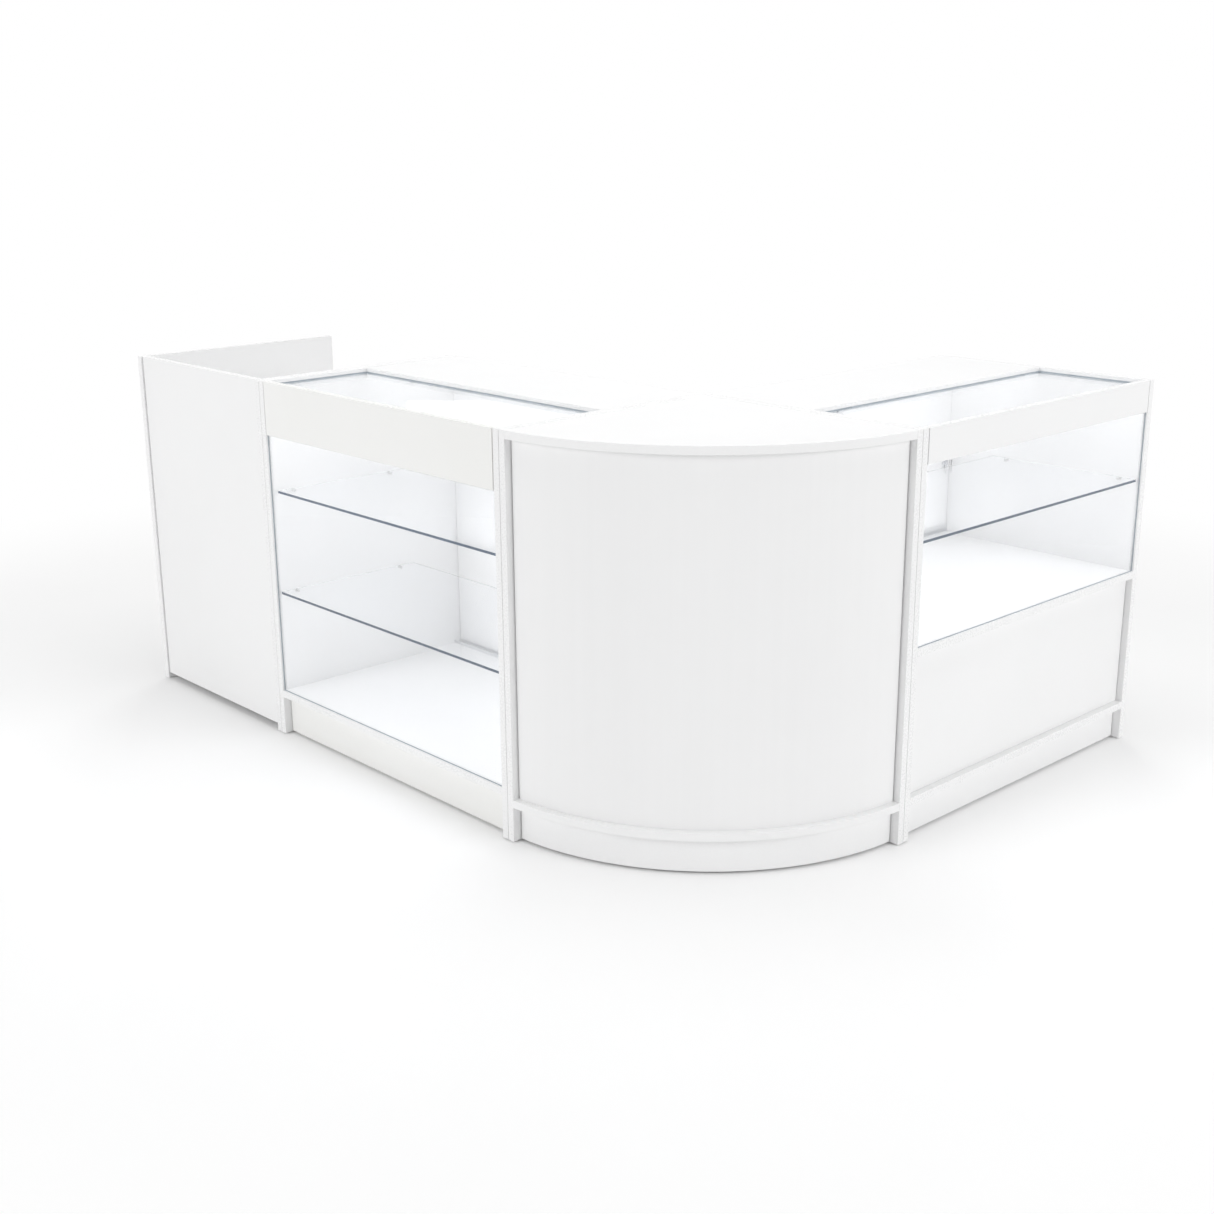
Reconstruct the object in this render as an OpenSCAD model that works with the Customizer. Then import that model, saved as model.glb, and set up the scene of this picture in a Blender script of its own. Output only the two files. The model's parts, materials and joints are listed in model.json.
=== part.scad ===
// L-shaped checkout counter made of four free-standing units bolted side by side:
// a till unit, a full-height glass display, a quarter-round corner and a display
// with a closed lower front. X runs along the left run, Y along the right run, and
// the customer stands on the -Y and +X sides. The floor is Z = 0.

/* [Overall size] */
// Width of the till unit
till_w = 600; // [500:1:900]
// Width of the full-height glass display
display_w = 900; // [700:1:1200]
// Width of the display with the closed lower front
counter_w = 900; // [700:1:1200]
// Depth of every straight unit, and the radius of the corner
unit_d = 600; // [500:1:750]
// Height of every unit
unit_h = 900; // [750:1:1100]
// Gap between the side boards of two neighbouring units
join_gap = 1; // [0.5:0.5:3]

/* [Boards] */
// Thickness of the carcass boards
board_t = 18; // [16:0.5:22]
// Chamfer along the long edges of the boards
edge_ease = 0.8; // [0.4:0.1:2]
// Height of the side boards above the floor, on their glides
glide_h = 3; // [2:0.5:6]
// Height of the plinths above the floor
plinth_z = 6; // [4:1:12]
// Setback of the plinths behind the front edges
plinth_back = 20; // [10:1:60]
// Setback of the closed front panels behind the front edges
panel_back = 16; // [8:1:30]
// Width of the shadow groove at both ends of the front boards
seam_w = 3; // [1:0.5:4]
// Depth of that groove
seam_d = 5; // [2:0.5:6]
// Height of the bottom board's underside in the till, corner and counter units
kick_h = 82; // [60:1:120]
// Height of the bottom board's underside in the full-height display
display_kick_h = 100; // [60:1:130]

/* [Glass displays] */
// Thickness of the glass
glass_t = 6; // [4:0.5:8]
// Depth of the grooves that hold the glass
groove_d = 5; // [3:0.5:8]
// Clearance round the glass in its grooves
glass_gap = 0.3; // [0.1:0.1:0.6]
// Height of the fascia of the full-height display
display_fascia_h = 130; // [60:1:200]
// Height of the fascia of the counter display
counter_fascia_h = 75; // [60:1:200]
// Depth of the solid worktop behind the glass top
rear_top_d = 300; // [150:1:400]
// Drop of the glass top below the side boards
top_glass_drop = 12; // [10:1:14]
// Height of the counter display's floor
showcase_floor_z = 436; // [300:1:500]
// Depth of the upper glass shelf
upper_shelf_d = 376; // [250:1:420]
// Depth of the lower glass shelf
lower_shelf_d = 404; // [250:1:430]
// Setback of the upper glass shelf behind the front edges
upper_shelf_back = 24; // [20:1:60]
// Setback of the other glass shelves behind the front edges
lower_shelf_back = 16; // [14:1:60]

/* [Shelf pins and glides] */
// Radius of a shelf pin's stem
pin_stem_r = 2.5; // [2:0.25:3]
// Radius of the part of a pin that carries the shelf
pin_head_r = 3.5; // [3:0.25:5]
// Length of a shelf pin inside the wall
pin_stem_l = 9; // [6:1:12]
// Length of a shelf pin outside the wall
pin_head_l = 11; // [8:1:16]
// Distance of the pins from the front and rear ends of a shelf
pin_inset = 44; // [20:1:80]
// Gap between a shelf and the side boards
shelf_gap = 2; // [1.5:0.5:4]
// Clearance of stems and bolts in their holes
hole_fit = 0.05; // [0.02:0.01:0.2]
// Radius of a glide
glide_r = 8; // [6:0.5:9]

/* [Unit connectors] */
// Radius of a connector bolt
bolt_r = 3.5; // [3:0.25:5]
// Radius of a connector bolt's head
bolt_head_r = 7.5; // [6:0.5:9]
// Thickness of a connector bolt's head
bolt_head_t = 2; // [1.5:0.25:4]
// Height of the lower bolts
bolt_low_z = 46; // [30:1:60]
// Drop of the upper bolts below the tops
bolt_drop = 52; // [40:1:100]
// Distance of the front bolts from the front edges
bolt_front = 60; // [45:1:120]
// Distance of the rear bolts from the front edges
bolt_rear = 440; // [300:1:480]

/* [Sliding doors] */
// Thickness of a sliding door
door_t = 16; // [12:0.5:18]
// Overlap of the two closed doors
door_overlap = 30; // [20:1:60]
// Clearance on each side of a door in its track
door_gap = 0.5; // [0.4:0.1:1]
// Gap between a closed door and the side board
door_end_gap = 1; // [0.5:0.5:3]
// Wall of the track profile
track_wall = 1.5; // [1:0.25:2.5]
// Height of the bottom track
track_low_h = 8; // [6:1:12]
// Height of the top track
track_top_h = 20; // [16:1:26]
// Setback of the tracks from the rear edges
track_back = 12; // [6:1:30]
// Radius of a finger pull's cup
pull_r = 16; // [12:0.5:20]
// Depth of a finger pull's cup
pull_d = 10; // [6:0.5:11]
// Distance of a finger pull from the door's outer edge
pull_in = 100; // [40:1:140]
// Height of the finger pulls of the full-height display
display_pull_z = 425; // [300:1:600]
// Height of the finger pulls of the counter display
counter_pull_z = 520; // [480:1:620]

/* [Locks] */
// Radius of a lock's housing
lock_r = 9.5; // [9:0.25:11]
// Radius of the barrel that turns in the housing
barrel_r = 7; // [5:0.25:7.5]
// Radial running clearance of the barrel
barrel_fit = 0.05; // [0.02:0.01:0.1]
// Length of the cam from the lock's axis
cam_l = 31; // [29:0.5:34]
// Width of the cam
cam_w = 11; // [8:0.5:13]
// Thickness of the cam
cam_t = 2; // [1.5:0.25:3]
// Height of the door locks
lock_z = 626; // [560:1:680]
// Distance of a door lock from the side board
lock_in = 23; // [20:0.5:25]

/* [Till unit] */
// Depth of the till's recess below the tops
till_well = 150; // [100:1:250]
// Setback of the till's front panel
till_panel_back = 4; // [2:1:12]
// Height of the till front panel's lower edge
till_panel_z = 18; // [8:1:40]
// Height of the till's shelf
till_shelf_z = 340; // [250:1:380]
// Height of the drawer front
drawer_front_h = 140; // [110:1:160]
// Gap round the drawer front
drawer_gap = 3; // [2:0.5:5]
// Length of the drawer box and its runners
drawer_l = 450; // [350:1:470]
// Height of the drawer box
drawer_box_h = 90; // [70:1:100]
// Thickness of the drawer's sides and back
drawer_t = 15; // [12:0.5:18]
// Thickness of the drawer's bottom
drawer_bottom_t = 6; // [4:0.5:8]
// Radius of the two finger scoops in the drawer front's upper edge
scoop_r = 60; // [40:5:100]
// Depth of the finger scoops
scoop_d = 22; // [10:1:30]
// Distance of the scoops from the middle of the drawer
scoop_x = 150; // [110:5:180]
// Space for a runner between the drawer and the side board
runner_gap = 12.7; // [12.5:0.1:14]
// Height of the fixed runner profile
runner_h = 45; // [40:1:50]
// Sheet thickness of the runners
runner_t = 1.2; // [1:0.1:2]

/* [Corner] */
// Thickness of the curved panel
curved_t = 10; // [6:0.5:14]
// Gap at the ends of the curved panel
curved_seam = 3; // [0.5:0.5:5]

/* [Hidden] */

// Round parts are smooth at this number of facets
$fn = 64;
curve_fn = 360;
// Overshoot of a cut past the face that it opens
cut = 1;

board_color = [0.95, 0.95, 0.94];
inner_color = [0.90, 0.91, 0.93];
glass_color = [0.55, 0.70, 0.80, 0.40];
alloy_color = [0.72, 0.73, 0.75];
steel_color = [0.55, 0.56, 0.58];
black_color = [0.10, 0.10, 0.11];
pull_color = [0.80, 0.81, 0.83];

half_gap = join_gap / 2;
// Lengths of the two runs of the L, whose free ends lack half a gap
run_x = till_w + display_w + unit_d - half_gap;
run_y = unit_d + counter_w - half_gap;
// Inner face of a unit's left side board
in0 = half_gap + board_t;
side_h = unit_h - glide_h;
tops_z = unit_h - board_t;

// Heights of the display floors, and of the glass shelves spaced evenly above them
display_floor_z = display_kick_h + board_t;
display_pitch = (tops_z - display_floor_z) / 3;
lower_shelf_z = display_floor_z + display_pitch - glass_t / 2;
upper_shelf_z = display_floor_z + 2 * display_pitch - glass_t / 2;
counter_shelf_z = (showcase_floor_z + tops_z - glass_t) / 2;
// The storage shelf halves the space below the counter display's floor
storage_floor_z = kick_h + board_t;
storage_shelf_z = (storage_floor_z + showcase_floor_z - board_t) / 2 - board_t / 2;
storage_shelf_front = panel_back + board_t + 20;
storage_shelf_d = unit_d - storage_shelf_front - 60;

// The front glass stands in the middle of the board edges
glass_y = (board_t - glass_t) / 2;
top_glass_z = unit_h - top_glass_drop - glass_t;
top_glass_y1 = unit_d - rear_top_d - 1;

// Tracks and doors
lane_pitch = door_t + 2 * door_gap + track_wall;
track_w = 2 * lane_pitch + track_wall;
track_y = unit_d - track_back - track_w;
inner_lane_y = track_y + track_wall + door_gap;
outer_lane_y = inner_lane_y + lane_pitch;
door_lift = 0.5;
door_top_z = tops_z - track_top_h / 2;

// Locks: the collar is outside the board, the ring nut and the cam are inside it
collar_t = 1.2;
collar_r = lock_r + 1.5;
nut_t = 4;
nut_r = lock_r + 3.5;
barrel_head_r = barrel_r + 1;
barrel_head_t = 1.2;
head_fit = 0.3;
cam_gap = 0.4;
cam_screw_r = 4;
cam_screw_t = 2;
// Pocket in a side board or worktop that takes the cam
pocket_gap = 1;
pocket_in = cam_l - lock_in + 2;

// Till unit
till_top_z = unit_h - till_well;
till_panel_y1 = till_panel_back + board_t;
till_base_back = 20;
till_shelf_front = till_panel_y1 + 38;
till_shelf_d = unit_d - till_shelf_front - 60;
drawer_front_y = unit_d - 2 - board_t;
drawer_front_z = till_top_z - board_t - drawer_gap - drawer_front_h;
drawer_box_x = in0 + runner_gap;
drawer_box_w = till_w - 2 * drawer_box_x;
drawer_box_z = drawer_front_z + 12;
drawer_box_y = drawer_front_y - drawer_l;
drawer_groove = 5;
drawer_bottom_z = drawer_box_z + 10;
runner_z = drawer_box_z + drawer_box_h / 2;
drawer_lock_z = till_top_z - board_t - drawer_gap - 22;

// Corner radii
curved_r = unit_d - panel_back;
curved_plinth_r = unit_d - plinth_back;
rib_gap = 0.2;
rib_z = (storage_floor_z + tops_z - board_t) / 2;

function in1(w) = w - in0;
function inner_w(w) = w - 2 * in0;
function door_w(w) = (inner_w(w) + door_overlap) / 2 - door_end_gap;
function right_door_x(w) = in1(w) - door_end_gap - door_w(w);
function lock_x(w) = in1(w) - lock_in;

// ---- places of the four units

module at_till() {
    translate([-run_x / 2 - half_gap, -run_y / 2, 0]) children();
}

module at_display() {
    translate([-run_x / 2 - half_gap + till_w, -run_y / 2, 0]) children();
}

// The corner's origin is the centre of its curve
module at_corner() {
    translate([run_x / 2 - unit_d, -run_y / 2 + unit_d, 0]) children();
}

module at_counter() {
    translate([run_x / 2, -run_y / 2 + unit_d, 0]) rotate([0, 0, 90]) children();
}

module mirrored_pair(w) {
    children();
    translate([w, 0, 0]) mirror([1, 0, 0]) children();
}

// ---- shared shapes

// Rectangle with its four corners cut off by the edge chamfer
module eased(a, b) {
    e = edge_ease;
    polygon([[e, 0], [a - e, 0], [a, e], [a, b - e], [a - e, b], [e, b], [0, b - e], [0, e]]);
}

// Board that runs along X from x0 to x1, with its long edges eased
module rail(x0, x1, y0, dy, z0, dz) {
    translate([x0, y0, z0]) rotate([90, 0, 90]) linear_extrude(x1 - x0) eased(dy, dz);
}

// Front board between the sides of a unit of width w, with a shadow groove at both ends
module front_board(w, y0, z0, dz) {
    difference() {
        rail(in0, in1(w), y0, board_t, z0, dz);
        mirrored_pair(w) translate([in0 - cut, y0 - cut, z0 - cut])
            cube([seam_w + cut, seam_d + cut, dz + 2 * cut]);
    }
}

// Upright board whose vertical edges and upper and lower edges are eased
module side_board(x, d) {
    translate([x, 0, glide_h]) intersection() {
        linear_extrude(side_h) eased(board_t, d);
        translate([0, d, 0]) rotate([90, 0, 0]) linear_extrude(d) eased(board_t, side_h);
    }
}

// Cylinder along X, starting at x
module rod_x(x, y, z, r, l) {
    translate([x, y, z]) rotate([0, 90, 0]) cylinder(r = r, h = l);
}

// Cylinder along Y, starting at y
module rod_y(x, y, z, r, l) {
    translate([x, y + l, z]) rotate([90, 0, 0]) cylinder(r = r, h = l);
}

function glide_places(d) = [[board_t / 2, 60], [board_t / 2, d - 60]];
function bolt_places() =
    [for (y = [bolt_front, bolt_rear]) for (z = [bolt_low_z, unit_h - bolt_drop]) [y, z]];
function pin_places(y0, d) = [y0 + pin_inset, y0 + d - pin_inset];

// Holes for the glides in the lower edge of the side board at x
module glide_holes(x, d) {
    for (p = glide_places(d))
        translate([x + p[0], p[1], glide_h - cut]) cylinder(r = pin_stem_r + hole_fit, h = 12 + cut);
}

// Holes for the connector bolts in the side board at x
module bolt_holes(x) {
    for (p = bolt_places()) rod_x(x - cut, p[0], p[1], bolt_r + hole_fit, board_t + 2 * cut);
}

// Holes for shelf pins in the inner face of a unit's left side board
module pin_holes(shelf_y, shelf_d, shelf_z) {
    l = pin_stem_l + hole_fit;
    for (y = pin_places(shelf_y, shelf_d))
        rod_x(in0 - l, y, shelf_z - pin_head_r, pin_stem_r + hole_fit, l + cut);
}

// Shelf pins on both walls of a unit of width w, under a shelf
module pins_under(w, shelf_y, shelf_d, shelf_z) {
    mirrored_pair(w) for (y = pin_places(shelf_y, shelf_d)) {
        rod_x(in0 - pin_stem_l, y, shelf_z - pin_head_r, pin_stem_r, pin_stem_l + cut);
        rod_x(in0, y, shelf_z - pin_head_r, pin_head_r, pin_head_l);
    }
}

// Grooves for the front glass and the glass top in a unit's left side board
module glass_grooves(floor_z, fascia_h) {
    translate([in0 - groove_d, glass_y - glass_gap, floor_z - groove_d])
        cube([groove_d + cut, glass_t + 2 * glass_gap, unit_h - fascia_h - floor_z + 2 * groove_d]);
    translate([in0 - groove_d, board_t - groove_d, top_glass_z])
        cube([groove_d + cut, top_glass_y1 - board_t + groove_d + 1, glass_t + 2 * glass_gap]);
}

// Pocket for the cam of the right door's lock, in a unit's right side board
module cam_pocket(w) {
    translate([in1(w) - cut, cam_y() - pocket_gap, lock_z - cam_l - pocket_gap])
        cube([pocket_in + cut, cam_t + 2 * pocket_gap, cam_l + cam_w / 2 + 2 * pocket_gap]);
}

// Y of the cam on the door lock, behind the ring nut on the door's inner face
function cam_y() = inner_lane_y - nut_t - cam_gap - cam_t;

// Left or right side board of a glass display
module display_side(w, right, floor_z, fascia_h) {
    x = right ? w - half_gap - board_t : half_gap;
    difference() {
        side_board(x, unit_d);
        glide_holes(x, unit_d);
        translate([right ? w : 0, 0, 0]) mirror([right ? 1 : 0, 0, 0]) glass_grooves(floor_z, fascia_h);
        translate([right ? w : 0, 0, 0]) mirror([right ? 1 : 0, 0, 0]) children();
        if (right) cam_pocket(w);
    }
}

// Front rail above the glass, grooved for the front glass and the glass top
module fascia(w, h) {
    difference() {
        front_board(w, 0, unit_h - h, h);
        translate([in0 - cut, glass_y - glass_gap, unit_h - h - cut])
            cube([inner_w(w) + 2 * cut, glass_t + 2 * glass_gap, groove_d + cut]);
        translate([in0 - cut, board_t - groove_d, top_glass_z])
            cube([inner_w(w) + 2 * cut, groove_d + cut, glass_t + 2 * glass_gap]);
    }
}

// Floor of a glass display, grooved for the front glass
module showcase_floor(w, floor_z) {
    difference() {
        rail(in0, in1(w), 0, unit_d, floor_z - board_t, board_t);
        translate([in0 - cut, glass_y - glass_gap, floor_z - groove_d])
            cube([inner_w(w) + 2 * cut, glass_t + 2 * glass_gap, groove_d + cut]);
    }
}

module front_glass(w, floor_z, fascia_h) {
    x0 = in0 - groove_d + glass_gap;
    z0 = floor_z - groove_d;
    translate([x0, glass_y, z0])
        cube([w - 2 * x0, glass_t, unit_h - fascia_h - z0 + groove_d - glass_gap]);
}

module top_glass(w) {
    x0 = in0 - groove_d + glass_gap;
    y0 = board_t - groove_d + glass_gap;
    translate([x0, y0, top_glass_z]) cube([w - 2 * x0, top_glass_y1 - y0, glass_t]);
}

module rear_worktop(w) {
    rail(in0, in1(w), unit_d - rear_top_d, rear_top_d, tops_z, board_t);
}

module glass_shelf(w, y, d, z) {
    translate([in0 + shelf_gap, y, z]) cube([inner_w(w) - 2 * shelf_gap, d, glass_t]);
}

// Front and rear plinth of a glass display, under the bottom board at height top
module plinth_pair(w, top) {
    front_board(w, plinth_back, plinth_z, top - plinth_z);
    rail(in0, in1(w), unit_d - plinth_back - board_t, board_t, plinth_z, top - plinth_z);
}

// Track profile of height h with two channels that open upwards
module track(w, h) {
    difference() {
        translate([in0, track_y, 0]) cube([inner_w(w), track_w, h]);
        for (i = [0, 1])
            translate([in0 - cut, track_y + track_wall + i * lane_pitch, track_wall])
                cube([inner_w(w) + 2 * cut, door_t + 2 * door_gap, h]);
    }
}

module door_tracks(w, floor_z) {
    translate([0, 0, floor_z]) track(w, track_low_h);
    translate([0, 0, tops_z]) mirror([0, 0, 1]) track(w, track_top_h);
}

// Sliding door in the lane at y; its outer face is bored for the finger pull at pull_x
module sliding_door(w, x, y, floor_z, pull_x, pull_z) {
    z0 = floor_z + track_wall + door_lift;
    difference() {
        translate([x, y, z0]) linear_extrude(door_top_z - z0) eased(door_w(w), door_t);
        rod_y(pull_x, y + door_t - pull_d, pull_z, pull_r, pull_d + cut);
        children();
    }
}

// Round cup with a thin rim that sits in the door's outer face at y
module finger_pull(x, y, z) {
    rim_r = pull_r + 2;
    rim_t = 0.8;
    wall = 1.5;
    difference() {
        union() {
            rod_y(x, y - pull_d, z, pull_r - hole_fit, pull_d);
            rod_y(x, y, z, rim_r, rim_t);
        }
        rod_y(x, y - pull_d + wall, z, pull_r - wall, pull_d + cut);
    }
}

// Sleeve, collar and ring nut of a lock in a board from y0 to y1, at x and z
module lock_housing(x, y0, y1, z) {
    seat = barrel_head_t + head_fit;
    difference() {
        union() {
            rod_y(x, y0 - nut_t, z, lock_r - hole_fit, y1 - y0 + nut_t);
            rod_y(x, y1, z, collar_r, collar_t);
            rod_y(x, y0 - nut_t, z, nut_r, nut_t);
        }
        rod_y(x, y0 - nut_t - cut, z, barrel_r + barrel_fit, y1 - y0 + nut_t + collar_t + 2 * cut);
        rod_y(x, y1 + collar_t - seat, z, barrel_head_r + head_fit, seat + cut);
    }
}

// Barrel with its keyway and cam; the cam points along turn degrees from straight down
module lock_barrel(x, y0, y1, z, turn) {
    face_y = y1 + collar_t;
    end_y = y0 - nut_t - cam_gap - cam_t;
    difference() {
        union() {
            rod_y(x, end_y, z, barrel_r, face_y - end_y - barrel_head_t);
            rod_y(x, face_y - barrel_head_t, z, barrel_head_r, barrel_head_t);
        }
        translate([x - 1, face_y - 6, z - 4]) cube([2, 6 + cut, 8]);
    }
    translate([x, end_y, z]) rotate([0, turn, 0]) {
        translate([-cam_w / 2, 0, -cam_l]) cube([cam_w, cam_t, cam_l]);
        rod_y(0, -cam_screw_t, 0, cam_screw_r, cam_screw_t + cut);
    }
}

module lock_hole(x, y0, y1, z) {
    rod_y(x, y0 - cut, z, lock_r, y1 - y0 + 2 * cut);
}

// ---- till unit

module till_left_side() {
    color(board_color) at_till() difference() {
        side_board(half_gap, unit_d);
        glide_holes(half_gap, unit_d);
        pin_holes(till_shelf_front, till_shelf_d, till_shelf_z);
    }
}

module till_right_side() {
    x = till_w - half_gap - board_t;
    color(board_color) at_till() difference() {
        side_board(x, unit_d);
        glide_holes(x, unit_d);
        bolt_holes(x);
        translate([till_w, 0, 0]) mirror([1, 0, 0]) pin_holes(till_shelf_front, till_shelf_d, till_shelf_z);
    }
}

module till_front_panel() {
    color(board_color) at_till()
        front_board(till_w, till_panel_back, till_panel_z, unit_h - till_panel_z);
}

module till_worktop() {
    slot_y = drawer_front_y - nut_t - cam_gap - cam_t - pocket_gap;
    slot_h = drawer_lock_z + cam_l - (till_top_z - board_t) + pocket_gap;
    color(board_color) at_till() difference() {
        rail(in0, in1(till_w), till_panel_y1, unit_d - till_panel_y1, till_top_z - board_t, board_t);
        translate([till_w / 2 - cam_l, slot_y, till_top_z - board_t - cut])
            cube([cam_l + cam_w, cam_t + 2 * pocket_gap, slot_h + cut]);
    }
}

module till_shelf() {
    color(board_color) at_till()
        rail(in0 + shelf_gap, in1(till_w) - shelf_gap, till_shelf_front, till_shelf_d, till_shelf_z, board_t);
}

module till_base_board() {
    color(board_color) at_till()
        rail(in0, in1(till_w), till_panel_y1, unit_d - till_panel_y1 - till_base_back, kick_h, board_t);
}

module till_rear_plinth() {
    y = unit_d - till_base_back - plinth_back - board_t;
    color(board_color) at_till() rail(in0, in1(till_w), y, board_t, plinth_z, kick_h - plinth_z);
}

module drawer_front() {
    x = in0 + drawer_gap;
    groove_in = drawer_t - drawer_groove;
    color(board_color) at_till() difference() {
        rail(x, till_w - x, drawer_front_y, board_t, drawer_front_z, drawer_front_h);
        lock_hole(till_w / 2, drawer_front_y, drawer_front_y + board_t, drawer_lock_z);
        translate([drawer_box_x + groove_in, drawer_front_y - cut, drawer_bottom_z])
            cube([drawer_box_w - 2 * groove_in, drawer_groove + cut, drawer_bottom_t + hole_fit]);
        for (s = [-1, 1])
            rod_y(till_w / 2 + s * scoop_x, drawer_front_y - cut,
                drawer_front_z + drawer_front_h + scoop_r - scoop_d, scoop_r, board_t + 2 * cut);
    }
}

module drawer_sides_and_back() {
    slot = drawer_bottom_t + hole_fit;
    groove_in = drawer_t - drawer_groove;
    color(inner_color) at_till() {
        mirrored_pair(till_w) difference() {
            translate([drawer_box_x, drawer_box_y, drawer_box_z]) cube([drawer_t, drawer_l, drawer_box_h]);
            translate([drawer_box_x + groove_in, drawer_box_y + groove_in, drawer_bottom_z])
                cube([drawer_groove + cut, drawer_l, slot]);
        }
        difference() {
            translate([drawer_box_x + drawer_t + hole_fit, drawer_box_y, drawer_box_z])
                cube([drawer_box_w - 2 * (drawer_t + hole_fit), drawer_t, drawer_box_h]);
            translate([drawer_box_x, drawer_box_y + groove_in, drawer_bottom_z])
                cube([drawer_box_w, drawer_groove + cut, slot]);
        }
    }
}

module drawer_bottom() {
    inset = drawer_t - drawer_groove + hole_fit;
    color(inner_color) at_till()
        translate([drawer_box_x + inset, drawer_box_y + inset, drawer_bottom_z])
            cube([drawer_box_w - 2 * inset, drawer_l - inset + drawer_groove - hole_fit, drawer_bottom_t]);
}

module cabinet_runners() {
    lip = 8;
    color(steel_color) at_till() mirrored_pair(till_w) difference() {
        translate([in0, drawer_box_y, runner_z - runner_h / 2]) cube([lip, drawer_l - 2, runner_h]);
        translate([in0 + runner_t, drawer_box_y - cut, runner_z - runner_h / 2 + runner_t])
            cube([lip, drawer_l + 2 * cut, runner_h - 2 * runner_t]);
    }
}

module drawer_runners() {
    inner_h = runner_h - 10;
    lip = runner_gap - 3.7;
    color(steel_color) at_till() mirrored_pair(till_w) difference() {
        translate([drawer_box_x - lip, drawer_box_y, runner_z - inner_h / 2]) cube([lip, drawer_l, inner_h]);
        translate([drawer_box_x - lip - cut, drawer_box_y - cut, runner_z - inner_h / 2 + runner_t])
            cube([lip - runner_t + cut, drawer_l + 2 * cut, inner_h - 2 * runner_t]);
    }
}

module drawer_lock_housing() {
    color(steel_color) at_till()
        lock_housing(till_w / 2, drawer_front_y, drawer_front_y + board_t, drawer_lock_z);
}

module drawer_lock_barrel() {
    color(alloy_color) at_till()
        lock_barrel(till_w / 2, drawer_front_y, drawer_front_y + board_t, drawer_lock_z, 90);
}

// ---- full-height glass display

module display_left_side() {
    color(board_color) at_display() difference() {
        display_side(display_w, false, display_floor_z, display_fascia_h) {
            pin_holes(upper_shelf_back, upper_shelf_d, upper_shelf_z);
            pin_holes(lower_shelf_back, lower_shelf_d, lower_shelf_z);
        }
        bolt_holes(half_gap);
    }
}

module display_right_side() {
    color(board_color) at_display() difference() {
        display_side(display_w, true, display_floor_z, display_fascia_h) {
            pin_holes(upper_shelf_back, upper_shelf_d, upper_shelf_z);
            pin_holes(lower_shelf_back, lower_shelf_d, lower_shelf_z);
        }
        bolt_holes(display_w - half_gap - board_t);
    }
}

module display_fascia() {
    color(board_color) at_display() fascia(display_w, display_fascia_h);
}

module display_deck() {
    color(board_color) at_display() showcase_floor(display_w, display_floor_z);
}

module display_plinths() {
    color(board_color) at_display() plinth_pair(display_w, display_kick_h);
}

module display_front_glass() {
    color(glass_color) at_display() front_glass(display_w, display_floor_z, display_fascia_h);
}

module display_top_glass() {
    color(glass_color) at_display() top_glass(display_w);
}

module display_rear_worktop() {
    color(board_color) at_display() rear_worktop(display_w);
}

module display_upper_shelf() {
    color(glass_color) at_display() glass_shelf(display_w, upper_shelf_back, upper_shelf_d, upper_shelf_z);
}

module display_lower_shelf() {
    color(glass_color) at_display() glass_shelf(display_w, lower_shelf_back, lower_shelf_d, lower_shelf_z);
}

module display_door_tracks() {
    color(alloy_color) at_display() door_tracks(display_w, display_floor_z);
}

module display_left_door() {
    x = in0 + door_end_gap;
    color(board_color) at_display()
        sliding_door(display_w, x, outer_lane_y, display_floor_z, x + pull_in, display_pull_z);
}

module display_right_door() {
    color(board_color) at_display()
        sliding_door(display_w, right_door_x(display_w), inner_lane_y, display_floor_z,
            in1(display_w) - door_end_gap - pull_in, display_pull_z)
            lock_hole(lock_x(display_w), inner_lane_y, inner_lane_y + door_t, lock_z);
}

module display_left_pull() {
    color(pull_color) at_display()
        finger_pull(in0 + door_end_gap + pull_in, outer_lane_y + door_t, display_pull_z);
}

module display_right_pull() {
    color(pull_color) at_display()
        finger_pull(in1(display_w) - door_end_gap - pull_in, inner_lane_y + door_t, display_pull_z);
}

module display_lock_housing() {
    color(steel_color) at_display()
        lock_housing(lock_x(display_w), inner_lane_y, inner_lane_y + door_t, lock_z);
}

module display_lock_barrel() {
    color(alloy_color) at_display()
        lock_barrel(lock_x(display_w), inner_lane_y, inner_lane_y + door_t, lock_z, 0);
}

// ---- quarter-round corner

module corner_left_side() {
    x = display_w + half_gap;
    color(board_color) at_display() difference() {
        side_board(x, unit_d);
        glide_holes(x, unit_d);
        bolt_holes(x);
    }
}

module corner_right_side() {
    x = -half_gap - board_t;
    d = unit_d - in0;
    color(board_color) at_counter() difference() {
        side_board(x, d);
        glide_holes(x, d);
        bolt_holes(x);
    }
}

// Quarter of a round shape that lies between the two side boards, kept gap away from them
module between_sides(gap) {
    size = unit_d - in0 - gap;
    intersection() {
        children();
        translate([in0 + gap, -in0 - gap - size, 0]) cube([size, size, unit_h]);
    }
}

// Quarter-round board from z up, with its curved edge eased
module corner_board(z, r) {
    e = edge_ease;
    t = board_t;
    at_corner() between_sides(0)
        translate([0, 0, z]) rotate_extrude($fn = curve_fn)
            polygon([[0, 0], [r - e, 0], [r, e], [r, t - e], [r - e, t], [0, t]]);
}

// Curved sheet of outer radius r from z up
module curved_sheet(r, z, h) {
    at_corner() between_sides(curved_seam) translate([0, 0, z]) difference() {
        cylinder(r = r, h = h, $fn = curve_fn);
        translate([0, 0, -cut]) cylinder(r = r - curved_t, h = h + 2 * cut, $fn = curve_fn);
    }
}

module corner_top() {
    color(board_color) corner_board(tops_z, unit_d);
}

module corner_curved_panel() {
    color(board_color) curved_sheet(curved_r, storage_floor_z, tops_z - storage_floor_z);
}

module corner_base_board() {
    color(board_color) corner_board(kick_h, unit_d);
}

module corner_curved_plinth() {
    color(board_color) curved_sheet(curved_plinth_r, plinth_z, kick_h - plinth_z);
}

module corner_rib() {
    color(inner_color) corner_board(rib_z, curved_r - curved_t - rib_gap);
}

// ---- display with a closed lower front

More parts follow.
